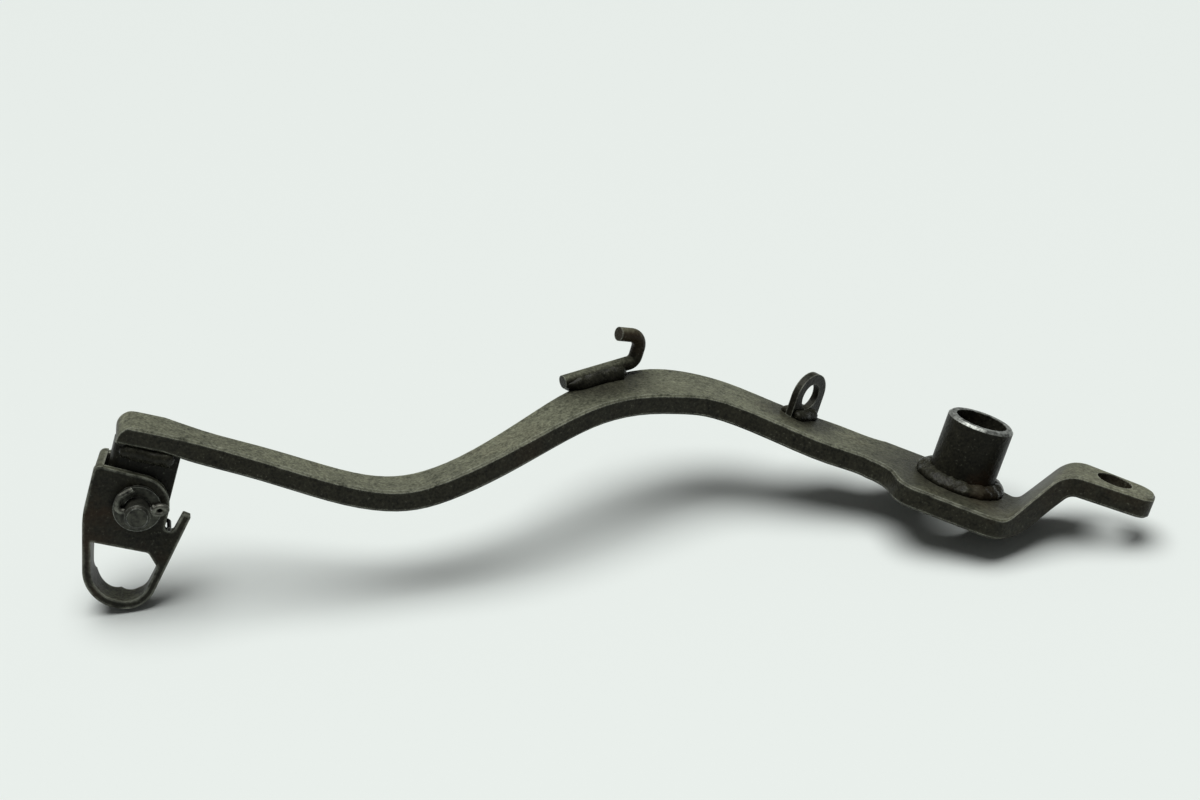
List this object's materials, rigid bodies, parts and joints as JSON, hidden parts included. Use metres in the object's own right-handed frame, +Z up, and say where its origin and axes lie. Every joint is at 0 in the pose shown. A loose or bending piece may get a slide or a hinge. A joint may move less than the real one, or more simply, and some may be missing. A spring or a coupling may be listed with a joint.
{
  "type": "rear brake pedal",
  "caption": "Rear brake pedal: bent flat-bar arm with pivot sleeve, brake rod tongue, spring hook and eye, and a sprung folding loop toe piece on a clevis pin.",
  "frame": {"origin": "on the pivot axis, where it meets the inboard face of the pivot pad", "axes": "+Z straight up off a bench on which the pedal lies outboard side down, +X level, from the toe to the brake rod"},
  "size_m": [0.3422, 0.0797, 0.0625],
  "materials": {
    "painted_steel": "worn satin black",
    "sleeve_steel": "worn satin black, bare rim",
    "weld": "painted weld bead",
    "rod_steel": "worn satin black",
    "tread_steel": "worn satin black",
    "pin_steel": "dull plated steel",
    "spring_steel": "dark oiled spring steel"
  },
  "bodies": {
    "arm": {"pedal_arm": "painted_steel", "pivot_sleeve": "sleeve_steel", "pivot_sleeve_weld": "weld", "spring_hook": "rod_steel", "spring_hook_weld": "weld", "spring_eye": "painted_steel", "spring_eye_weld": "weld", "toe_bracket": "painted_steel", "toe_bracket_weld": "weld", "hinge_pin": "pin_steel", "plain_washer": "pin_steel", "split_pin": "pin_steel", "toe_spring": "spring_steel"},
    "toe": {"toe_piece": "tread_steel"}
  },
  "joints": [
    {"name": "toe_fold", "type": "hinge", "parent": "arm", "child": "toe", "pos_m": [-0.26424, 0.01104, 0.02132], "axis": [0.0562, -0.9874, 0.148], "range_deg": [0, 45], "stiffness_Nm_per_rad": 0.2, "springref_deg": -34.38, "deforming": ["toe_spring"]}
  ]
}
